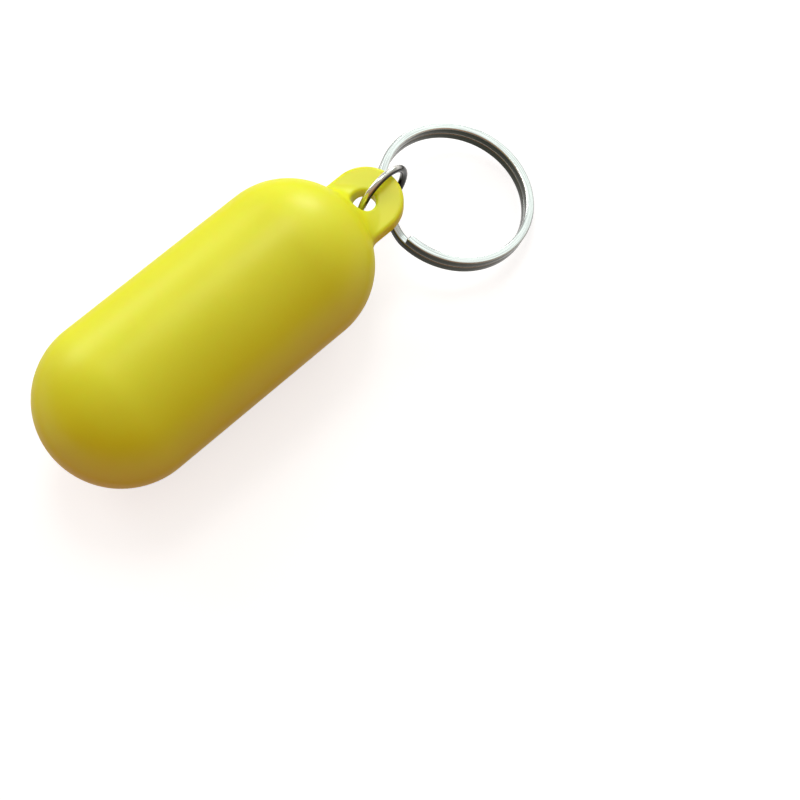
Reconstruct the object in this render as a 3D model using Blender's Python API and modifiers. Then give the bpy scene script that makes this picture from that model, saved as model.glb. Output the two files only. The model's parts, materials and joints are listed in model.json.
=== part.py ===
"""Floating keychain: a hollow moulded float with a lug, a link ring through the lug, and a split key ring.

The float lies on its side along X with the lug at +X. Units are metres, +Z is up, the floor is at z = 0,
and the origin is under the middle of the whole object.
"""

import math

import bmesh
import bpy
from mathutils import Matrix, Vector

# Driving dimensions of the float
FLOAT_DIAMETER = 0.035
FLOAT_LENGTH = 0.0785
LUG_THICKNESS = 0.0035
LUG_HOLE_DIAMETER = 0.0052
LUG_WEB = 0.0059
LUG_RADIUS = 0.0079
HOLE_TO_FLOAT_END = 0.00015
LUG_RIM_ROUNDING = 0.0008
HOLE_RIM_ROUNDING = 0.0004
LUG_SIDE_FLARE_RADIUS = 0.012
LUG_ROOT_FILLET_RADIUS = 0.003
LUG_ROOT_FILLET_LENGTH = 0.002

# Driving dimensions of the two rings
LINK_WIRE_DIAMETER = 0.0016
LINK_PLAY = 0.0044
LINK_TURN = math.radians(5)
LINK_SEAM_ANGLE = math.radians(-50)
LINK_SEAM_GAP = 0.00015
KEY_RING_DIAMETER = 0.035
COIL_WIDTH = 0.0018
COIL_THICKNESS = 0.0019
COIL_GAP = 0.0001
COIL_EDGE_ROUNDING = 0.00035
KEY_RING_TURN = math.radians(-28.6)
RAMP_START = math.radians(8)
RAMP_LENGTH = math.radians(27)
COIL_END_SETBACK = math.radians(1)

# Clearance between pieces that rest on each other
SEAT_GAP = 0.0003

# Fineness of the round shapes
FLOAT_SIDES = 24
FLOAT_END_STEPS = 11
LUG_ARC_STEPS = 28
FLARE_STEPS = 8
ROOT_STEPS = 12
ROOT_ROWS = 10
HOLE_SIDES = 28
ROUNDING_STEPS = 3
LINK_POINTS = 49
POINTS_PER_TURN = 60
RAMP_STEPS = 9

# Sizes that follow from the driving dimensions
float_radius = FLOAT_DIAMETER / 2
float_corner_radius = float_radius / math.cos(math.pi / FLOAT_SIDES)
hole_radius = LUG_HOLE_DIAMETER / 2
lug_tip_centre = hole_radius + LUG_WEB - LUG_RADIUS
hole_reach = hole_radius + HOLE_TO_FLOAT_END
lug_root_reach = hole_reach + float_radius / 4
key_ring_thickness = 2 * COIL_THICKNESS + COIL_GAP
key_ring_radius = KEY_RING_DIAMETER / 2
coil_line_radius = key_ring_radius - COIL_WIDTH / 2
coil_half_diagonal = math.hypot(key_ring_thickness, COIL_WIDTH) / 2
link_bore_radius = (LUG_THICKNESS + key_ring_thickness + LINK_PLAY) / 2
link_line_radius = link_bore_radius + LINK_WIRE_DIAMETER / 2

# The link ring stands upright and its top rests on the lug, halfway between the hole and the lug's tip
link_reach = hole_radius + LUG_WEB / 2
rim_from_link = LUG_WEB / 2 - HOLE_RIM_ROUNDING
rim_clearance = link_bore_radius - HOLE_RIM_ROUNDING - SEAT_GAP
link_drop = math.sqrt(rim_clearance**2 - rim_from_link**2) + HOLE_RIM_ROUNDING - LUG_THICKNESS / 2
link_height = float_radius - link_drop

# The key ring lies in the link ring's lower bend, and its far side rests on the floor
key_wire_height = link_height - link_bore_radius + SEAT_GAP + coil_half_diagonal
slope_arm = coil_line_radius + key_ring_radius
slope_reach = math.hypot(slope_arm, key_ring_thickness / 2)
key_ring_tilt = math.asin(key_wire_height / slope_reach) - math.atan2(key_ring_thickness / 2, slope_arm)
key_ring_normal = Vector(
    (
        math.sin(key_ring_tilt) * math.cos(KEY_RING_TURN),
        math.sin(key_ring_tilt) * math.sin(KEY_RING_TURN),
        math.cos(key_ring_tilt),
    )
)


def key_ring_half_size(axis):
    """Half of the tilted key ring's size along X (0) or Y (1)."""
    lean = key_ring_normal[axis]
    return key_ring_radius * math.sqrt(1 - lean**2) + key_ring_thickness / 2 * abs(lean)


# Places are counted from the lug hole's centre, then moved to put the object's middle over the origin
link_from_hole = Vector((math.cos(LINK_TURN), math.sin(LINK_TURN), 0)) * link_reach
key_ring_run = coil_line_radius * math.cos(key_ring_tilt)
key_ring_way = Vector((math.cos(KEY_RING_TURN), math.sin(KEY_RING_TURN), 0))
key_ring_from_hole = link_from_hole + key_ring_way * key_ring_run
low_x = -hole_reach - FLOAT_LENGTH
high_x = key_ring_from_hole.x + key_ring_half_size(0)
low_y = min(-float_radius, key_ring_from_hole.y - key_ring_half_size(1))
high_y = max(float_radius, key_ring_from_hole.y + key_ring_half_size(1))
hole_centre = Vector((-(low_x + high_x) / 2, -(low_y + high_y) / 2, float_radius))
float_end_x = hole_centre.x - hole_reach
link_centre = Vector((hole_centre.x + link_from_hole.x, hole_centre.y + link_from_hole.y, link_height))
key_wire_point = Vector((link_centre.x, link_centre.y, key_wire_height))


def start_collections():
    """Clears the scene and returns the object's collection and the one for its cutters."""
    for old in list(bpy.data.objects):
        bpy.data.objects.remove(old)
    made = []
    for name in ("floating_keychain", "cutters"):
        collection = bpy.data.collections.new(name)
        bpy.context.scene.collection.children.link(collection)
        made.append(collection)
    return made


def material(name, colour, roughness, metallic):
    """A Principled material with one colour."""
    made = bpy.data.materials.new(name)
    made.use_nodes = True
    shader = made.node_tree.nodes["Principled BSDF"]
    shader.inputs["Base Color"].default_value = (*colour, 1)
    shader.inputs["Roughness"].default_value = roughness
    shader.inputs["Metallic"].default_value = metallic
    return made


def mesh_object(name, mesh, collection):
    """Puts a mesh into the scene as an object of that name."""
    made = bpy.data.objects.new(name, mesh)
    collection.objects.link(made)
    return made


def solid_from(source, name, collection):
    """A mesh object with the source's shape, its caps welded, in place of the source."""
    bpy.context.view_layer.update()
    mesh = bpy.data.meshes.new_from_object(source.evaluated_get(bpy.context.evaluated_depsgraph_get()))
    mesh.name = name
    welded = bmesh.new()
    welded.from_mesh(mesh)
    bmesh.ops.remove_doubles(welded, verts=welded.verts, dist=1e-7)
    bmesh.ops.recalc_face_normals(welded, faces=welded.faces)
    welded.to_mesh(mesh)
    welded.free()
    made = mesh_object(name, mesh, collection)
    made.matrix_world = source.matrix_world
    bpy.data.objects.remove(source)
    return made


def turned(name, profile, sides, collection):
    """A profile of (radius, height) points, listed from the top down, turned about Z."""
    mesh = bpy.data.meshes.new(name)
    points = [(radius, 0, height) for radius, height in profile]
    mesh.from_pydata(points, [(i, i + 1) for i in range(len(points) - 1)], [])
    made = mesh_object(name, mesh, collection)
    screw = made.modifiers.new("turn", "SCREW")
    screw.steps = sides
    screw.render_steps = sides
    screw.use_merge_vertices = True
    screw.merge_threshold = 0.00001
    return made


def poly_curve(name, points, closed, dimensions, collection):
    """A curve object with one straight-sided spline through the points."""
    curve = bpy.data.curves.new(name, "CURVE")
    curve.dimensions = dimensions
    spline = curve.splines.new("POLY")
    spline.points.add(len(points) - 1)
    for spot, point in zip(spline.points, points):
        spot.co = (*point, 1)
    spline.use_cyclic_u = closed
    made = bpy.data.objects.new(name, curve)
    collection.objects.link(made)
    return made


def hide_cutter(cutter):
    """Keeps a cutter out of the finished object."""
    cutter.hide_render = True
    cutter.display_type = "WIRE"


def float_shell(collection):
    """The capsule: a straight tube with a half sphere at each end, turned about its long axis.

    Its flats touch the true circle, and it lies on one of them.
    """
    half_straight = FLOAT_LENGTH / 2 - float_radius
    quarter = [math.pi / 2 * i / FLOAT_END_STEPS for i in range(FLOAT_END_STEPS + 1)]
    top = [(float_corner_radius * math.sin(a), half_straight + float_radius * math.cos(a)) for a in quarter]
    bottom = [(radius, -height) for radius, height in reversed(top)]
    shell = turned("float_shell", top + bottom, FLOAT_SIDES, collection)
    shell.rotation_mode = "ZYX"
    shell.rotation_euler = (0, math.pi / 2, math.pi / FLOAT_SIDES)
    shell.location = (float_end_x - FLOAT_LENGTH / 2, hole_centre.y, hole_centre.z)
    return shell


def lug_outline():
    """The lug seen from above, counted from the hole: a round tip whose sides flare into the float."""
    tip = [-math.pi / 2 + math.pi * i / LUG_ARC_STEPS for i in range(LUG_ARC_STEPS + 1)]
    points = [(lug_tip_centre + LUG_RADIUS * math.cos(a), LUG_RADIUS * math.sin(a), 0) for a in tip]
    flare = []
    for i in range(1, FLARE_STEPS + 1):
        x = lug_root_reach * i / FLARE_STEPS
        rise = LUG_SIDE_FLARE_RADIUS - math.sqrt(LUG_SIDE_FLARE_RADIUS**2 - x**2)
        flare.append((-x, LUG_RADIUS + rise, 0))
    points += flare
    points += [(x, -y, z) for x, y, z in reversed(flare)]
    return points


def cut_across(plate, reach, places, direction):
    """Adds edges where planes across the direction cross the faces that lie behind reach."""
    for place in places:
        behind = [face for face in plate.faces if all(v.co.x < reach + 1e-6 for v in face.verts)]
        edges = {edge for face in behind for edge in face.edges}
        spots = {vertex for face in behind for vertex in face.verts}
        bmesh.ops.bisect_plane(
            plate, geom=[*behind, *edges, *spots], dist=1e-7, plane_co=direction * place, plane_no=direction
        )


def flare_lug_root(lug):
    """Thickens the lug towards the float's round end, in a hollow curve that dies out at the lug's sides."""
    start = -hole_reach + LUG_ROOT_FILLET_LENGTH
    depth = start + lug_root_reach
    plate = bmesh.new()
    plate.from_mesh(lug.data)
    across = [start - depth * i / ROOT_STEPS for i in range(ROOT_STEPS)]
    along = [LUG_RADIUS * (2 * i / ROOT_ROWS - 1) for i in range(1, ROOT_ROWS)]
    cut_across(plate, LUG_RADIUS, across, Vector((1, 0, 0)))
    cut_across(plate, start, along, Vector((0, 1, 0)))
    for vertex in plate.verts:
        from_float = math.hypot(vertex.co.x + hole_reach + float_radius, vertex.co.y) - float_radius
        inward = min(max(LUG_ROOT_FILLET_LENGTH - from_float, 0), LUG_ROOT_FILLET_LENGTH)
        rise = LUG_ROOT_FILLET_RADIUS - math.sqrt(LUG_ROOT_FILLET_RADIUS**2 - inward**2)
        fade = math.sqrt(max(1 - (vertex.co.y / LUG_RADIUS) ** 2, 0))
        vertex.co.z *= 1 + rise * fade / (LUG_THICKNESS / 2)
    plate.to_mesh(lug.data)
    plate.free()


def lug_plate(collection):
    """The flat lug without its hole, with a rounded rim."""
    outline = poly_curve("lug_outline", lug_outline(), True, "2D", collection)
    outline.data.fill_mode = "BOTH"
    outline.data.extrude = LUG_THICKNESS / 2 - LUG_RIM_ROUNDING
    outline.data.bevel_depth = LUG_RIM_ROUNDING
    outline.data.bevel_resolution = ROUNDING_STEPS - 1
    outline.data.offset = -LUG_RIM_ROUNDING
    outline.location = hole_centre
    lug = solid_from(outline, "lug", collection)
    flare_lug_root(lug)
    hide_cutter(lug)
    return lug


def hole_cutter(collection):
    """The lug's hole, wider at both faces to round its rims."""
    half = LUG_THICKNESS / 2
    middle = half - HOLE_RIM_ROUNDING
    sweep = math.radians(75)
    rim = []
    for i in range(ROUNDING_STEPS + 1):
        a = sweep * (1 - i / ROUNDING_STEPS)
        radius = hole_radius + HOLE_RIM_ROUNDING * (1 - math.cos(a))
        rim.append((radius, middle + HOLE_RIM_ROUNDING * math.sin(a)))
    clear_of_float = float_radius / 2
    top = [(0, clear_of_float), (hole_radius + HOLE_RIM_ROUNDING, clear_of_float)]
    top += [(hole_radius + HOLE_RIM_ROUNDING, half)] + rim
    cutter = turned("hole_profile", top + [(r, -z) for r, z in reversed(top)], HOLE_SIDES, collection)
    cutter.location = hole_centre
    cutter = solid_from(cutter, "lug_hole", collection)
    hide_cutter(cutter)
    return cutter


def make_float_body(parts, cutters, finish):
    """The float and its lug, moulded as one piece."""
    shell = float_shell(parts)
    for operation, other in (("UNION", lug_plate(cutters)), ("DIFFERENCE", hole_cutter(cutters))):
        cut = shell.modifiers.new(other.name, "BOOLEAN")
        cut.operation = operation
        cut.object = other
        cut.solver = "EXACT"
    body = solid_from(shell, "float_body", parts)
    body.data.materials.append(finish)
    shade(body)
    return body


def shade(piece):
    """Smooth shading with the sharp corners kept."""
    piece.data.shade_smooth()
    piece.data.set_sharp_from_angle(angle=math.radians(35))


def pivot(name, place, collection):
    """An empty on a joint's axis."""
    made = bpy.data.objects.new(name, None)
    made.empty_display_size = 0.004
    made.location = place
    collection.objects.link(made)
    return made


def hang_on(piece, parent):
    """Makes the piece follow its pivot without moving it."""
    bpy.context.view_layer.update()
    world = piece.matrix_world.copy()
    piece.parent = parent
    piece.matrix_parent_inverse = parent.matrix_world.inverted()
    piece.matrix_world = world


def make_link_ring(parts, finish):
    """A round wire bent into a ring, with its two ends meeting at a fine seam."""
    seam = LINK_SEAM_GAP / link_line_radius
    points = []
    for i in range(LINK_POINTS):
        a = LINK_SEAM_ANGLE + seam / 2 + (2 * math.pi - seam) * i / (LINK_POINTS - 1)
        points.append((link_line_radius * math.cos(a), 0, link_line_radius * math.sin(a)))
    wire = poly_curve("link_wire", points, False, "3D", parts)
    wire.data.bevel_depth = LINK_WIRE_DIAMETER / 2
    wire.data.bevel_resolution = 4
    wire.data.use_fill_caps = True
    wire.location = link_centre
    wire.rotation_euler = (0, 0, LINK_TURN)
    ring = solid_from(wire, "link_ring", parts)
    ring.data.materials.append(finish)
    shade(ring)
    hang_on(ring, pivot("link_ring_pivot", hole_centre, parts))
    return ring


def coil_section(collection):
    """The key ring's flat wire in section, a rectangle with rounded corners."""
    points = []
    for corner in range(4):
        middle = math.pi / 4 + corner * math.pi / 2
        across = math.copysign(COIL_WIDTH / 2 - COIL_EDGE_ROUNDING, math.cos(middle))
        up = math.copysign(COIL_THICKNESS / 2 - COIL_EDGE_ROUNDING, math.sin(middle))
        for step in (-1, 0, 1):
            a = middle + step * math.pi / 4
            spot = (across + COIL_EDGE_ROUNDING * math.cos(a), up + COIL_EDGE_ROUNDING * math.sin(a), 0)
            points.append(spot)
    return poly_curve("coil_section", points, True, "2D", collection)


def coil_path():
    """Centre line of the key ring's wire: a lower coil, a short ramp and an upper coil."""
    level = (COIL_THICKNESS + COIL_GAP) / 2
    coil = 2 * math.pi - RAMP_LENGTH - COIL_END_SETBACK
    steps = round(POINTS_PER_TURN * coil / (2 * math.pi))
    stations = [(coil * i / steps, -level) for i in range(steps)]
    for i in range(RAMP_STEPS + 1):
        share = i / RAMP_STEPS
        stations.append((coil + RAMP_LENGTH * share, -level * math.cos(math.pi * share)))
    stations += [(coil + RAMP_LENGTH + coil * i / steps, level) for i in range(1, steps + 1)]
    start = math.pi + RAMP_START - COIL_END_SETBACK
    return [
        (coil_line_radius * math.cos(start - a), coil_line_radius * math.sin(start - a), height)
        for a, height in stations
    ]


def make_key_ring(parts, cutters, finish):
    """The split ring: two coils of flat wire, one on the other."""
    wire = poly_curve("key_ring_wire", coil_path(), False, "3D", parts)
    wire.data.twist_mode = "Z_UP"
    wire.data.bevel_mode = "OBJECT"
    wire.data.bevel_object = coil_section(cutters)
    wire.data.use_fill_caps = True
    hide_cutter(wire.data.bevel_object)
    turn = Matrix.Rotation(KEY_RING_TURN, 4, "Z") @ Matrix.Rotation(key_ring_tilt, 4, "Y")
    centre = key_wire_point + turn.to_3x3() @ Vector((coil_line_radius, 0, 0))
    wire.matrix_world = Matrix.Translation(centre) @ turn
    ring = solid_from(wire, "key_ring", parts)
    ring.data.materials.append(finish)
    shade(ring)
    hang_on(ring, pivot("key_ring_pivot", key_wire_point, parts))
    return ring


def build():
    parts, cutters = start_collections()
    plastic = material("yellow_plastic", (0.80, 0.78, 0.03), 0.32, 0.0)
    nickel = material("nickel_plate", (0.75, 0.75, 0.72), 0.15, 1.0)
    steel = material("polished_steel", (0.72, 0.74, 0.73), 0.18, 1.0)
    body = make_float_body(parts, cutters, plastic)
    link = make_link_ring(parts, nickel)
    key_ring = make_key_ring(parts, cutters, steel)
    hang_on(key_ring.parent, link.parent)
    hang_on(link.parent, body)


build()
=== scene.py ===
# %% [markdown]
# # A floating keychain
#
# A hollow yellow float keeps a bunch of keys from sinking. It is a plastic capsule with a flat lug at one
# end. A small ring of round wire hangs through the lug, and a split ring of flat wire, which takes the
# keys, hangs in the small one.
#
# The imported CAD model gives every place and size, so we load it first. It is a frame that never moves: each
# finer piece below is made at the same place and then takes over from its CAD part. Everything is in
# metres, with +Z up and the floor at z = 0.

# %% Load the frame
import json
import math

import bmesh
import bpy
import numpy as np
from mathutils import Matrix, Vector


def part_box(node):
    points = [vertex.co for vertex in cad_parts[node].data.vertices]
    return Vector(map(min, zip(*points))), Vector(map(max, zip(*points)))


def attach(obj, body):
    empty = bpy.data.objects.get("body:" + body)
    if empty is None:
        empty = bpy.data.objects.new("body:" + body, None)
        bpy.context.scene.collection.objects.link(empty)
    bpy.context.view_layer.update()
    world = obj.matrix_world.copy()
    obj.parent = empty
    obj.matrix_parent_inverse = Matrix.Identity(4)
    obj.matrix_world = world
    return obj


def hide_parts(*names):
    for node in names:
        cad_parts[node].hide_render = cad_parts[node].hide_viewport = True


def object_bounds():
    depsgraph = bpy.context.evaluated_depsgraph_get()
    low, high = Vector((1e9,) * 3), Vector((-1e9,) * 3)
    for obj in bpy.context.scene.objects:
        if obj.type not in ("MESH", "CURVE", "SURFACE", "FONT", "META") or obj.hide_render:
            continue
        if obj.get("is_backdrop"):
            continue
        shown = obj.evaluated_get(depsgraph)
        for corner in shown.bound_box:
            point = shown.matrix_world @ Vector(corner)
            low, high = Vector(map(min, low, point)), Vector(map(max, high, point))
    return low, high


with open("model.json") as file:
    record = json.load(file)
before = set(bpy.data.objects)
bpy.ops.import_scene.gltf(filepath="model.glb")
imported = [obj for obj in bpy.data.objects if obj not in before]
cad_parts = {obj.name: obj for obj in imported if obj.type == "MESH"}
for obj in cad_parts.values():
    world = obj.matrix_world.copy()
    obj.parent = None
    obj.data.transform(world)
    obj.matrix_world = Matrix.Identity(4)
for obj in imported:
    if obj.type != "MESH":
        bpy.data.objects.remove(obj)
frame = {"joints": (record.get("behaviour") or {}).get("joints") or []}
cad_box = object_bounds()
MM = 0.001
joints = {joint["name"]: joint for joint in frame["joints"]}
print("CAD box:", [round(v / MM, 2) for corner in cad_box for v in corner])

# %% [markdown]
# ## The camera
#
# The camera is close over the keychain and looks down steeply. The lens matters as much as the place: a
# short lens would swell the near end of the float. Both were found by matching the float's two round ends,
# the rings and the lug with the picture, so we set the numbers and don't aim by eye.

# %% Place the camera
IMAGE_SIDE = 800
FOCAL_PIXELS = 1457
SENSOR_WIDTH = 36.0
NEAREST_SEEN = 0.01
CAMERA_PLACE = (-0.06564, -0.10571, 0.28755)
CAMERA_AIM = (0.00303, -0.02851, 0)
CAMERA_ROLL = math.radians(-0.6)
camera = bpy.data.objects.new("camera", bpy.data.cameras.new("camera"))
camera.data.sensor_width = SENSOR_WIDTH
camera.data.lens = FOCAL_PIXELS / IMAGE_SIDE * SENSOR_WIDTH
camera.data.clip_start = NEAREST_SEEN
camera.location = CAMERA_PLACE
aim = Vector(CAMERA_AIM) - camera.location
level_view = aim.to_track_quat("-Z", "Y").to_matrix()
camera.rotation_euler = (level_view @ Matrix.Rotation(CAMERA_ROLL, 3, "Z")).to_euler()
bpy.context.scene.collection.objects.link(camera)
bpy.context.scene.camera = camera
print("lens:", round(camera.data.lens, 1), "mm")

# %% [markdown]
# ## The float and its lug
#
# On the real thing the capsule and the lug are one moulding, and a soft hollow curve joins them, so that
# the lug doesn't snap off. A cylinder with two half spheres and a flat plate would show a hard line there.
# We could bevel that line, or sculpt it, but a bevel fails where the lug's thin rim runs into the round
# end.
#
# So we describe the shape by distances instead. For any point, a short formula says how far it is from the
# capsule and from the lug. A soft minimum of the two distances melts the shapes together, and a soft
# maximum cuts the hole with a rounded rim. First the sizes, which come from the frame.

# %% Measure the float
float_low, float_high = (np.array(corner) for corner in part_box("float_body"))
float_radius = (float_high[2] - float_low[2]) / 2
hole_centre = np.array(joints["link_ring_swing"]["pos_m"])
HOLE_TO_FLOAT = 2.75 * MM
end_centre_high = hole_centre - (HOLE_TO_FLOAT + float_radius, 0, 0)
end_centre_low = np.array((float_low[0] + float_radius, hole_centre[1], hole_centre[2]))
print("float radius:", round(float_radius / MM, 2), "mm")
print("float length:", round((hole_centre[0] - HOLE_TO_FLOAT - float_low[0]) / MM, 2), "mm")

# %% [markdown]
# The distance to a capsule is the distance to the line between the centres of its two round ends, less the
# radius. The lug is a flat shape of an outline and a thickness: its outline is a strip with one round end.
# A soft minimum joins the two. At the middle of the lug's root the join is wide, and at the lug's sides it
# is narrow, because the real corner is sharp there. The last helper puts it together and cuts the hole.

# %% Describe the shape by distances
LUG_RADIUS = 7.9 * MM
LUG_WEB = 5.9 * MM
LUG_HALF_THICKNESS = 1.75 * MM
LUG_RIM_ROUNDING = 0.8 * MM
HOLE_RADIUS = 2.6 * MM
lug_tip_centre = HOLE_RADIUS + LUG_WEB - LUG_RADIUS
ROOT_BLEND_MIDDLE = 6.0 * MM
ROOT_BLEND_SIDES = 1.2 * MM
HOLE_BLEND = 0.7 * MM


def length(vectors):
    return np.sqrt((vectors**2).sum(-1))


def distance_to_capsule(points):
    along = np.clip(points[..., 0], end_centre_low[0], end_centre_high[0])
    off_line = points - hole_centre
    off_line[..., 0] = points[..., 0] - along
    return length(off_line) - float_radius


def distance_to_lug(points):
    off_hole = points - hole_centre
    ahead = off_hole[..., 0] - np.clip(off_hole[..., 0], end_centre_high[0] - hole_centre[0], lug_tip_centre)
    outline = np.hypot(ahead, off_hole[..., 1]) - LUG_RADIUS
    level = np.abs(off_hole[..., 2]) - LUG_HALF_THICKNESS
    both = np.stack((outline, level), -1) + LUG_RIM_ROUNDING
    return np.minimum(both.max(-1), 0) + length(np.maximum(both, 0)) - LUG_RIM_ROUNDING


def soft_minimum(first, second, blend):
    near = np.maximum(blend - np.abs(first - second), 0) / blend
    return np.minimum(first, second) - near**2 * blend / 4


def distance_to_float(points):
    off_hole = points - hole_centre
    across_lug = np.clip(np.abs(off_hole[..., 1]) / LUG_RADIUS, 0, 1)
    root_blend = ROOT_BLEND_MIDDLE + (ROOT_BLEND_SIDES - ROOT_BLEND_MIDDLE) * across_lug**2
    moulding = soft_minimum(distance_to_capsule(points), distance_to_lug(points), root_blend)
    hole = np.hypot(off_hole[..., 0], off_hole[..., 1]) - HOLE_RADIUS
    return -soft_minimum(-moulding, hole, HOLE_BLEND)


float_middle = (end_centre_low + end_centre_high) / 2
print("depth of the float's middle:", round(distance_to_float(float_middle) / MM, 2), "mm")

# %% [markdown]
# Now the formula has to become a mesh. We lay a grid of small cubes over the float. Each cube that the
# surface passes through gets one point, and around each grid edge that crosses the surface the four points
# of its cubes make one face. This is called a surface net. Its faces are even squares, with no poles and no
# thin triangles, which is just what a glossy surface needs.

# %% Wrap a net of squares around the shape
def surface_net(distance, low, high, pitch):
    """Points and four-sided faces around the places where the distance is below zero."""
    counts = np.ceil((high - low) / pitch).astype(int) + 1
    lines = [start + pitch * np.arange(count) for start, count in zip(low, counts)]
    grid = np.stack(np.meshgrid(*lines, indexing="ij"), -1)
    inside = distance(grid) < 0
    corners = sum(
        inside[x : counts[0] - 1 + x, y : counts[1] - 1 + y, z : counts[2] - 1 + z].astype(int)
        for x in (0, 1)
        for y in (0, 1)
        for z in (0, 1)
    )
    crossed = (corners > 0) & (corners < 8)
    number = np.full(crossed.shape, -1)
    number[crossed] = np.arange(crossed.sum())
    faces = []
    for axis in range(3):
        before = np.take(inside, range(counts[axis] - 1), axis)
        after = np.take(inside, range(1, counts[axis]), axis)
        for outward, sign in ((before & ~after, 1), (after & ~before, -1)):
            edges = np.argwhere(outward)
            ring = []
            for b, c in ((-1, -1), (0, -1), (0, 0), (-1, 0))[::sign]:
                cell = edges.copy()
                cell[:, (axis + 1) % 3] += b
                cell[:, (axis + 2) % 3] += c
                ring.append(number[tuple(cell.T)])
            faces.append(np.stack(ring, -1))
    return low + pitch * (np.argwhere(crossed) + 0.5), np.concatenate(faces)


NET_PITCH = 0.42 * MM
margin = 2 * NET_PITCH
net_points, net_faces = surface_net(distance_to_float, float_low - margin, float_high + margin, NET_PITCH)
print("net:", len(net_points), "points,", len(net_faces), "faces")

# %% [markdown]
# The net still looks like steps. Two moves make it smooth, and we take them in turn. The first evens out
# the spacing by moving each point to the middle of its neighbours. The second pulls each point along the
# slope of the distance until the distance is zero, so that it lies on the formula's surface. We print how
# far the worst point is still off.

# %% Even out the net and pull it onto the surface
SLOPE_STEP = 0.001 * MM
EVENING_ROUNDS = 6


def pull_to_surface(points, distance, rounds=3):
    """Moves points straight towards the surface until they lie on it."""
    steps = np.eye(3) * SLOPE_STEP
    for _ in range(rounds):
        rises = [distance(points + step) - distance(points - step) for step in steps]
        slope = np.stack(rises, -1) / (2 * SLOPE_STEP)
        points = points - (distance(points) / (slope**2).sum(-1))[:, None] * slope
    return points


def even_out(points, edges):
    """Moves each point to the middle of its neighbours."""
    total = np.zeros_like(points)
    count = np.zeros(len(points))
    for this, other in (edges.T, edges.T[::-1]):
        np.add.at(total, this, points[other])
        np.add.at(count, this, 1)
    return total / count[:, None]


def settle(mesh, distance, rounds):
    """Evens out a mesh over the surface of a distance formula, in place."""
    points = np.empty(len(mesh.vertices) * 3)
    mesh.vertices.foreach_get("co", points)
    points = points.reshape(-1, 3)
    edges = np.empty(len(mesh.edges) * 2, int)
    mesh.edges.foreach_get("vertices", edges)
    edges = edges.reshape(-1, 2)
    for _ in range(rounds):
        points = pull_to_surface(even_out(points, edges), distance, 1)
    points = pull_to_surface(points, distance)
    mesh.vertices.foreach_set("co", points.ravel())
    mesh.update()
    print(mesh.name, "is off its surface by at most", round(np.abs(distance(points)).max() / MM, 5), "mm")


def mesh_from(name, points, faces):
    """A mesh with smooth shading."""
    mesh = bpy.data.meshes.new(name)
    mesh.from_pydata([tuple(p) for p in points], [], [tuple(f) for f in faces])
    mesh.validate()
    mesh.shade_smooth()
    return mesh


float_mesh = mesh_from("float_moulding", net_points, net_faces.tolist())
settle(float_mesh, distance_to_float, EVENING_ROUNDS)

# %% [markdown]
# The lug has much smaller curves than the float: its rim is rounded to less than a millimetre. We split the
# faces around it in four and settle the mesh once more, and leave the plain body as it is.

# %% Refine the lug
LUG_ZONE = 7 * MM
LUG_EVENING_ROUNDS = 3
lug_zone_start = hole_centre[0] - LUG_ZONE
finer = bmesh.new()
finer.from_mesh(float_mesh)
lug_edges = [edge for edge in finer.edges if all(v.co.x > lug_zone_start for v in edge.verts)]
bmesh.ops.subdivide_edges(finer, edges=lug_edges, cuts=1, use_grid_fill=True)
finer.to_mesh(float_mesh)
finer.free()
settle(float_mesh, distance_to_float, LUG_EVENING_ROUNDS)
float_mesh.shade_smooth()
float_piece = bpy.data.objects.new("float_moulding", float_mesh)
bpy.context.scene.collection.objects.link(float_piece)
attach(float_piece, "float")
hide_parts("float_body")
print("float faces:", len(float_mesh.polygons))

# %% [markdown]
# ## The yellow plastic
#
# Lemon yellow plastic lets a little light in. It scatters under the skin and comes out warmer, which is why
# the shaded side of the real float turns golden and not grey. Subsurface scattering does that, with red
# going furthest and blue hardly at all. The surface is satin, so a fine bump breaks the highlight, and a
# slow change of roughness keeps it from looking like paint.
#
# One thing is set, and not by physics. Plastic that turns away from us mirrors the white sheet and looks
# veiled, and the real one shows no such veil. So the shine gets weaker towards flat angles.

# %% Small helpers for materials
def new_material(name):
    """A material with nodes, and its main shader."""
    made = bpy.data.materials.new(name)
    made.use_nodes = True
    return made, made.node_tree.nodes["Principled BSDF"]


def add_node(material, kind, **settings):
    """A node with some of its settings and inputs filled in."""
    node = material.node_tree.nodes.new(kind)
    for key, value in settings.items():
        if key in node.inputs:
            node.inputs[key].default_value = value
        else:
            setattr(node, key, value)
    return node


def join(material, source, output, target, entry):
    material.node_tree.links.new(source.outputs[output], target.inputs[entry])


def shades(material, source, output, stops):
    """A colour ramp driven by another node."""
    ramp = add_node(material, "ShaderNodeValToRGB")
    join(material, source, output, ramp, "Fac")
    while len(ramp.color_ramp.elements) < len(stops):
        ramp.color_ramp.elements.new(0.5)
    for element, (place, colour) in zip(ramp.color_ramp.elements, stops):
        element.position = place
        element.color = (*colour, 1)
    return ramp


def number_range(material, source, output, low, high, low_from=0.35, high_from=0.65):
    """Turns a value into a number between low and high."""
    made = add_node(material, "ShaderNodeMapRange")
    for key, value in (("From Min", low_from), ("From Max", high_from), ("To Min", low), ("To Max", high)):
        made.inputs[key].default_value = value
    join(material, source, output, made, "Value")
    return made


# A Mix node has its own sockets for numbers, vectors and colours. These are the places of the colour ones
MIX_FACTOR = 0
MIX_FIRST = 6
MIX_SECOND = 7
MIX_RESULT = 2

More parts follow.
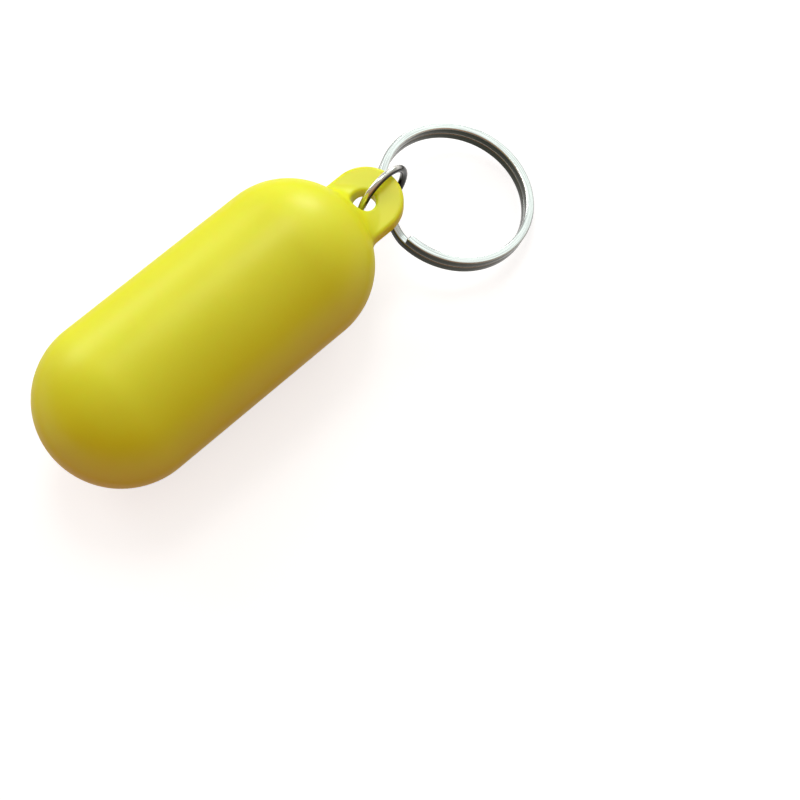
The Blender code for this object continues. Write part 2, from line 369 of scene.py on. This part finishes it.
# %% Mix the plastic
plastic, plastic_shader = new_material("lemon_yellow_plastic")
plastic_shader.inputs["IOR"].default_value = 1.49
plastic_shader.inputs["Subsurface Weight"].default_value = 0.4
plastic_shader.inputs["Subsurface Radius"].default_value = (1.0, 0.45, 0.05)
plastic_shader.inputs["Subsurface Scale"].default_value = 4 * MM
place = add_node(plastic, "ShaderNodeTexCoord")
cloud = add_node(plastic, "ShaderNodeTexNoise", Scale=55.0, Detail=3.0, Roughness=0.5)
join(plastic, place, "Object", cloud, "Vector")
tint = shades(plastic, cloud, "Fac", [(0.3, (0.79, 0.81, 0.024)), (0.7, (0.82, 0.85, 0.034))])
join(plastic, tint, "Color", plastic_shader, "Base Color")
satin = number_range(plastic, cloud, "Fac", 0.38, 0.44)
join(plastic, satin, "Result", plastic_shader, "Roughness")
slant = add_node(plastic, "ShaderNodeLayerWeight", Blend=0.5)
sheen = number_range(plastic, slant, "Facing", low=0.40, high=0.05, low_from=0.34, high_from=0.62)
join(plastic, sheen, "Result", plastic_shader, "Specular IOR Level")
frost = add_node(plastic, "ShaderNodeTexNoise", Scale=2600.0, Detail=2.0, Roughness=0.6)
join(plastic, place, "Object", frost, "Vector")
frost_bump = add_node(plastic, "ShaderNodeBump", Strength=0.25, Distance=0.02 * MM)
join(plastic, frost, "Fac", frost_bump, "Height")
join(plastic, frost_bump, "Normal", plastic_shader, "Normal")
float_mesh.materials.append(plastic)
print("plastic nodes:", len(plastic.node_tree.nodes))

# %% [markdown]
# ## Bending wire
#
# Both rings are wire, one round and one flat. A curve with a bevel would make either, but we want to know
# where we are on the wire, along it and around it, so that the metal's fine draw marks can follow the wire.
# So we sweep a cross-section along a path ourselves, and write both measures into a UV map.

# %% A helper that sweeps a section along a path
END_CHAMFER = 0.06 * MM
END_SHRINK = 0.9


def sweep(name, path, across, up, section):
    """A closed wire: section points (across, up) carried along a path, with both ends cut square."""
    path, across, up = (np.asarray(v, float) for v in (path, across, up))
    travel = np.gradient(path, axis=0)
    travel /= length(travel)[:, None]
    shift = end_shift(len(path))
    stations = [(path[0], across[0], up[0], END_SHRINK)]
    stations += [(p + t * s, a, u, 1.0) for p, a, u, t, s in zip(path, across, up, travel, shift)]
    stations += [(path[-1], across[-1], up[-1], END_SHRINK)]
    points = [p + k * (x * a + y * u) for p, a, u, k in stations for x, y in section]
    around = len(section)
    rows = len(stations)
    faces = []
    for this in range(0, (rows - 1) * around, around):
        following = this + around
        for j in range(around):
            beside = (j + 1) % around
            faces.append((this + j, this + beside, following + beside, following + j))
    faces.append(tuple(range(around))[::-1])
    faces.append(tuple((rows - 1) * around + j for j in range(around)))
    mesh = mesh_from(name, points, faces)
    along = np.concatenate(([0], np.cumsum(length(np.diff([s[0] for s in stations], axis=0)))))
    outline = np.asarray(section)
    steps = length(np.roll(outline, -1, axis=0) - outline)
    girth = np.concatenate(([0], np.cumsum(steps)))
    uv = mesh.uv_layers.new(name="wire")
    for face in mesh.polygons:
        for loop in face.loop_indices:
            row, column = divmod(mesh.loops[loop].vertex_index, around)
            turned = column if column or face.index % around != around - 1 else around
            uv.data[loop].uv = (along[row], girth[turned])
    return mesh


def end_shift(count):
    """Draws the first and last full section in a little, which leaves a fine chamfer at each cut end."""
    shift = np.zeros(count)
    shift[0] = END_CHAMFER
    shift[-1] = -END_CHAMFER
    return shift


def place_piece(mesh, body, node, finish):
    """Adds a piece to the scene in place of its CAD part."""
    mesh.materials.append(finish)
    piece = bpy.data.objects.new(mesh.name, mesh)
    bpy.context.scene.collection.objects.link(piece)
    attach(piece, body)
    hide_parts(node)
    print(mesh.name, "faces:", len(mesh.polygons))


# %% [markdown]
# ## The nickel plate
#
# Nickel is a warm, slightly yellow mirror. Such wire keeps fine draw marks, and the plate has faint dents:
# a noise that is stretched along the wire gives the marks, and a finer one the dents.
#
# In the picture the top of the wire is bright and its walls are nearly black, because of what they mirror.
# Our room is simpler than the real one, so mirrors alone don't give that. The mesh carries a number at each
# point that says how dark the metal is there. It is set, not measured.
# So these dark walls, like the dark near side and bend of the link ring, are a painted reflection in the
# metal's colour.

# %% Mix the metals
MARK_STRETCH = (110.0, 4200.0, 1.0)
MARK_SHADES = [(0.35, (0.70, 0.70, 0.71)), (0.55, (1, 1, 1))]


def nickel(name, bright, painted_dark):
    """Plated wire: the metal's own bright colour where the mesh's edge number is 0, and a painted dark
    reflection where it is 1.
    """
    made, shader = new_material(name)
    shader.inputs["Metallic"].default_value = 1.0
    wire = add_node(made, "ShaderNodeUVMap", uv_map="wire")
    stretch = add_node(made, "ShaderNodeMapping")
    stretch.inputs["Scale"].default_value = MARK_STRETCH
    join(made, wire, "UV", stretch, "Vector")
    marks = add_node(made, "ShaderNodeTexNoise", Scale=1.0, Detail=3.0, Roughness=0.6)
    join(made, stretch, "Vector", marks, "Vector")
    spot = add_node(made, "ShaderNodeTexCoord")
    dents = add_node(made, "ShaderNodeTexNoise", Scale=900.0, Detail=2.0, Roughness=0.5)
    join(made, spot, "Object", dents, "Vector")
    edge = add_node(made, "ShaderNodeAttribute", attribute_name="edge")
    # The second colour is a painted dark reflection, mixed in by the edge number.
    colour = shades(made, edge, "Fac", [(0.0, bright), (1.0, painted_dark)])
    shade = shades(made, marks, "Fac", MARK_SHADES)
    mixed = add_node(made, "ShaderNodeMix", data_type="RGBA", blend_type="MULTIPLY")
    mixed.inputs[MIX_FACTOR].default_value = 1.0
    join(made, colour, "Color", mixed, MIX_FIRST)
    join(made, shade, "Color", mixed, MIX_SECOND)
    join(made, mixed, MIX_RESULT, shader, "Base Color")
    polish = number_range(made, marks, "Fac", 0.14, 0.26)
    join(made, polish, "Result", shader, "Roughness")
    height = add_node(made, "ShaderNodeMath", operation="ADD")
    join(made, marks, "Fac", height, 0)
    join(made, dents, "Fac", height, 1)
    bump = add_node(made, "ShaderNodeBump", Strength=0.3, Distance=0.01 * MM)
    join(made, height, "Value", bump, "Height")
    join(made, bump, "Normal", shader, "Normal")
    return made


def paint_dark_reflection(mesh, values):
    """Writes the edge number of each point: how much painted dark reflection it gets."""
    numbers = mesh.attributes.new("edge", "FLOAT", "POINT")
    numbers.data.foreach_set("value", np.asarray(values, np.float32))
    print(mesh.name, "dull points:", int(np.sum(np.asarray(values) > 0.5)), "of", len(values))


def rise(values, start, width):
    """0 below the start, 1 beyond the width, and a straight slope between."""
    return np.clip((values - start) / width, 0, 1)


# Each ring's second colour is the painted dark reflection, not a colour of the plate.
link_finish = nickel("bright_nickel_wire", (0.80, 0.79, 0.75), (0.030, 0.030, 0.027))
key_ring_finish = nickel("polished_flat_wire", (0.88, 0.91, 0.895), (0.032, 0.036, 0.027))

# %% [markdown]
# ## The link ring
#
# The link ring is a round wire bent until its ends meet. It stands upright: it hangs over the lug at the
# top, and the key ring lies in its lower bend. The fine seam where the ends meet is turned away, low on the
# ring.

# %% Bend the link ring
LINK_WIRE_RADIUS = 0.8 * MM
LINK_LINE_RADIUS = 6.7 * MM
LINK_TURN = math.radians(5)
LINK_SEAM_ANGLE = math.radians(-50)
LINK_SEAM = 0.15 * MM
LINK_CENTRE = np.array((27.6215, 4.1277, 14.3182)) * MM
ROUND_SIDES = 32
LINK_STATIONS = 220

seam_angle = LINK_SEAM / LINK_LINE_RADIUS
angles = LINK_SEAM_ANGLE + seam_angle / 2 + (2 * math.pi - seam_angle) * np.linspace(0, 1, LINK_STATIONS)
flat_reach = np.cos(angles)
outward = np.stack((flat_reach * math.cos(LINK_TURN), flat_reach * math.sin(LINK_TURN), np.sin(angles)), -1)
sideways = np.tile((math.sin(LINK_TURN), -math.cos(LINK_TURN), 0), (LINK_STATIONS, 1))
turns = np.linspace(0, 2 * math.pi, ROUND_SIDES, endpoint=False)
round_section = LINK_WIRE_RADIUS * np.stack((np.cos(turns), np.sin(turns)), -1)
link_path = LINK_CENTRE + LINK_LINE_RADIUS * outward
link_mesh = sweep("link_wire_ring", link_path, outward, sideways, round_section)

# %% [markdown]
# Two parts of this ring are dark in the picture: the side of the wire that faces us, and the bend beyond the
# lug. That dark is painted into the metal as a painted reflection. Each point of the mesh knows how far round
# the wire and how far round the ring it is, and two slopes of those give the number for the metal.

# %% Paint dark reflections on the near side and the bend
around_wire = np.tile(np.sin(turns), LINK_STATIONS + 2)
around_ring = np.repeat(np.cos(angles[[0, *range(LINK_STATIONS), -1]]), ROUND_SIDES)
near_side_painted_dark = rise(around_wire, start=0.5, width=0.3) * rise(around_ring, start=-0.9, width=0.15)
bend_painted_dark = rise(around_ring, start=0.6, width=0.2)
paint_dark_reflection(link_mesh, np.maximum(near_side_painted_dark, bend_painted_dark))
place_piece(link_mesh, "link", "link_ring", link_finish)

# %% [markdown]
# ## The key ring
#
# A split ring is one flat wire wound twice, like a short spring. Each turn is flat except where the wire
# climbs from the lower coil to the upper one. Both free ends lie next to that climb, cut square: that is
# the small step where a fingernail opens the ring. We list the wire's centre line as an angle and a height,
# turn by turn, and tilt the whole ring afterwards: it leans from the link ring down to the floor.

# %% Wind the key ring
COIL_LINE_RADIUS = 16.58 * MM
COIL_WIDTH = 1.8 * MM
COIL_THICKNESS = 1.9 * MM
COIL_GAP = 0.1 * MM
COIL_ROUNDING = 0.35 * MM
RAMP_START = math.radians(8)
RAMP_LENGTH = math.radians(27)
END_SETBACK = math.radians(1)
COIL_STATIONS = 300
RAMP_STATIONS = 30

level = (COIL_THICKNESS + COIL_GAP) / 2
coil = 2 * math.pi - RAMP_LENGTH - END_SETBACK
ramp = np.linspace(0, 1, RAMP_STATIONS, endpoint=False)
wound = np.concatenate(
    (
        np.linspace(0, coil, COIL_STATIONS, endpoint=False),
        coil + RAMP_LENGTH * ramp,
        np.linspace(coil + RAMP_LENGTH, 2 * coil + RAMP_LENGTH, COIL_STATIONS),
    )
)
heights = np.concatenate(
    (np.full(COIL_STATIONS, -level), -level * np.cos(math.pi * ramp), np.full(COIL_STATIONS, level))
)
bearing = math.pi + RAMP_START - END_SETBACK - wound
radial = np.stack((np.cos(bearing), np.sin(bearing), np.zeros_like(bearing)), -1)
upright = np.tile((0.0, 0.0, 1.0), (len(bearing), 1))
flat_path = COIL_LINE_RADIUS * radial + heights[:, None] * upright
print("wire length:", round(length(np.diff(flat_path, axis=0)).sum() / MM, 1), "mm")

# %% [markdown]
# The wire itself is a rectangle with rounded corners. We go round its four corners, each in small steps of
# a quarter circle, and sweep the outline along the centre line.

# %% Roll the flat wire
CORNER_STEPS = 6
corners = []
for corner in range(4):
    middle = math.pi / 4 + corner * math.pi / 2
    side = math.copysign(COIL_WIDTH / 2 - COIL_ROUNDING, math.cos(middle))
    top = math.copysign(COIL_THICKNESS / 2 - COIL_ROUNDING, math.sin(middle))
    for step in range(CORNER_STEPS + 1):
        a = middle + (step / CORNER_STEPS - 0.5) * math.pi / 2
        corners.append((side + COIL_ROUNDING * math.cos(a), top + COIL_ROUNDING * math.sin(a)))
key_ring_mesh = sweep("split_key_ring", flat_path, -radial, upright, corners)

# %% [markdown]
# The walls of both coils get the painted dark reflection, and the flat top stays bright. On the top of the
# upper coil the bright part runs on into the rounded rims, further on the inner rim than on the outer one,
# which keeps a thin grey line of painted reflection there against the white sheet. A power of the number
# moves that border.

# %% Paint dark reflections on the walls
INNER_RIM_POWER = 6
OUTER_RIM_POWER = 2
from_middle, above_middle = np.array(corners).T
into_rounding = np.clip((np.abs(from_middle) - COIL_WIDTH / 2) / COIL_ROUNDING + 1, 0, 1)
upper_coil = np.array([heights[0], *heights, heights[-1]])[:, None] > 0
rim_power = np.where(from_middle > 0, INNER_RIM_POWER, OUTER_RIM_POWER)
power = np.where((above_middle > 0) & upper_coil, rim_power, 1)
paint_dark_reflection(key_ring_mesh, (into_rounding**power).ravel())

# %% [markdown]
# The ring was wound flat around its own middle. Its wire has to lie where the frame has the hinge, in the
# bend of the link ring, and from there it leans down until its far side touches the floor.

# %% Hang the key ring in the link ring
KEY_RING_TURN = math.radians(-28.6)
KEY_RING_TILT = math.radians(15.2768)
HINGE_TO_CENTRE = 16.6 * MM
key_wire_point = Vector(joints["key_ring_flap"]["pos_m"])
lean = Matrix.Rotation(KEY_RING_TURN, 4, "Z") @ Matrix.Rotation(KEY_RING_TILT, 4, "Y")
key_ring_centre = key_wire_point + lean.to_3x3() @ Vector((HINGE_TO_CENTRE, 0, 0))
key_ring_mesh.transform(Matrix.Translation(key_ring_centre) @ lean)
place_piece(key_ring_mesh, "key_ring", "key_ring", key_ring_finish)

# %% [markdown]
# ## The floor
#
# The keychain lies on a plain white sheet, which the camera and the mirrors see white. The light that it
# throws back onto the float is weak and warm instead, and that gives the float's underside the golden shade
# of the picture. The Light Path node tells these rays apart. The sheet also glows a little by itself, so
# that only a faint shadow is left on it.

# %% Lay the floor
FLOOR_HALF = 2.0
THROWN_BACK = (0.40, 0.13, 0.02)
SEEN_WHITE = (0.52, 0.52, 0.53)
SEEN_GLOW = (0.70, 0.70, 0.71)
floor_corners = [(x * FLOOR_HALF, y * FLOOR_HALF, 0) for x, y in ((-1, -1), (1, -1), (1, 1), (-1, 1))]
floor_mesh = bpy.data.meshes.new("floor")
floor_mesh.from_pydata(floor_corners, [], [(0, 1, 2, 3)])
floor = bpy.data.objects.new("floor", floor_mesh)
bpy.context.scene.collection.objects.link(floor)
sheet, sheet_shader = new_material("white_sheet")
sheet_shader.inputs["Roughness"].default_value = 1.0
sheet_shader.inputs["Specular IOR Level"].default_value = 0.0
rays = add_node(sheet, "ShaderNodeLightPath")
seen = add_node(sheet, "ShaderNodeMath", operation="ADD", use_clamp=True)
join(sheet, rays, "Is Camera Ray", seen, 0)
join(sheet, rays, "Is Glossy Ray", seen, 1)
seen_too = add_node(sheet, "ShaderNodeMath", operation="ADD", use_clamp=True)
join(sheet, seen, "Value", seen_too, 0)
join(sheet, rays, "Is Transmission Ray", seen_too, 1)
sheet_colour = shades(sheet, seen_too, "Value", [(0.0, THROWN_BACK), (1.0, SEEN_WHITE)])
join(sheet, sheet_colour, "Color", sheet_shader, "Base Color")
sheet_glow = shades(sheet, seen_too, "Value", [(0.0, (0, 0, 0)), (1.0, SEEN_GLOW)])
join(sheet, sheet_glow, "Color", sheet_shader, "Emission Color")
sheet_shader.inputs["Emission Strength"].default_value = 1.0
floor_mesh.materials.append(sheet)
floor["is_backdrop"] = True
print("floor:", 2 * FLOOR_HALF, "m wide")

# %% [markdown]
# ## The light
#
# In the picture the float is brightest along its far flank and falls off towards the viewer. Three soft
# panels do that together: the strongest is low beyond the lug, one is beyond the far flank, and one is high
# up. They are kept just weak enough that the yellow stays below full brightness. A fourth, faint and broad,
# hangs over the key ring's side, for the flat top of the wire to mirror.

# %% Hang the lights
DAYLIGHT = (1.0, 1.0, 0.98)
COOL_DAYLIGHT = (0.97, 1.0, 0.98)



def soft_panel(name, place, size, power, colour):
    """A square area light that faces the keychain."""
    data = bpy.data.lights.new(name, "AREA")
    data.shape = "SQUARE"
    data.size = size
    data.energy = power
    data.color = colour
    made = bpy.data.objects.new(name, data)
    made.location = place
    made.rotation_euler = (-Vector(place)).to_track_quat("-Z", "Y").to_euler()
    bpy.context.scene.collection.objects.link(made)
    print(name, "power:", power, "W")


soft_panel("main_panel", (0.78, 0.48, 0.31), 0.36, 2.8, DAYLIGHT)
soft_panel("flank_panel", (-0.05, 0.92, 0.40), 0.44, 2.2, DAYLIGHT)
soft_panel("high_panel", (0.30, 0.36, 0.89), 0.32, 1.9, DAYLIGHT)
soft_panel("ring_panel", (0.60, 0.08, 0.57), 0.50, 0.4, COOL_DAYLIGHT)

# %% [markdown]
# The room around fills what the panels leave dark. It is pale towards the panels and brown low down on the
# opposite side, so that the near side of the float turns warm. We take the angle between each direction and
# the pale side, and look the colour up in a ramp. Where the camera sees past the edge of the floor, it sees
# plain white.

# %% Paint the room
ROOM_COLOURS = [
    (0.12, (0.20, 0.06, 0.01)),
    (0.32, (0.46, 0.19, 0.04)),
    (0.9, (0.55, 0.60, 0.57)),
]
pale_side = Vector((0.66, 0.45, 0.60)).normalized()
world = bpy.data.worlds.new("room")
world.use_nodes = True
bpy.context.scene.world = world
background = world.node_tree.nodes["Background"]
direction = add_node(world, "ShaderNodeTexCoord")
towards_pale = add_node(world, "ShaderNodeVectorMath", operation="DOT_PRODUCT")
towards_pale.inputs[1].default_value = pale_side
join(world, direction, "Generated", towards_pale, 0)
spread = number_range(world, towards_pale, "Value", low=0.0, high=1.0, low_from=-1.0, high_from=1.0)
wall = shades(world, spread, "Result", ROOM_COLOURS)
seen_directly = add_node(world, "ShaderNodeLightPath")
backdrop = add_node(world, "ShaderNodeMix", data_type="RGBA")
backdrop.inputs[MIX_SECOND].default_value = (1, 1, 1, 1)
join(world, seen_directly, "Is Camera Ray", backdrop, MIX_FACTOR)
join(world, wall, "Color", backdrop, MIX_FIRST)
join(world, backdrop, MIX_RESULT, background, "Color")
background.inputs["Strength"].default_value = 1.0
print("room nodes:", len(world.node_tree.nodes))
bpy.context.scene.view_settings.view_transform = "Standard"

# %% [markdown]
# ## The last look
#
# We print the boxes of the CAD model and of the dressed model.

# %% Print the sizes and finish
own_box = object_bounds()
for word, box in (("CAD", cad_box), ("dressed", own_box)):
    print(word, [round(v / MM, 3) for corner in box for v in corner])
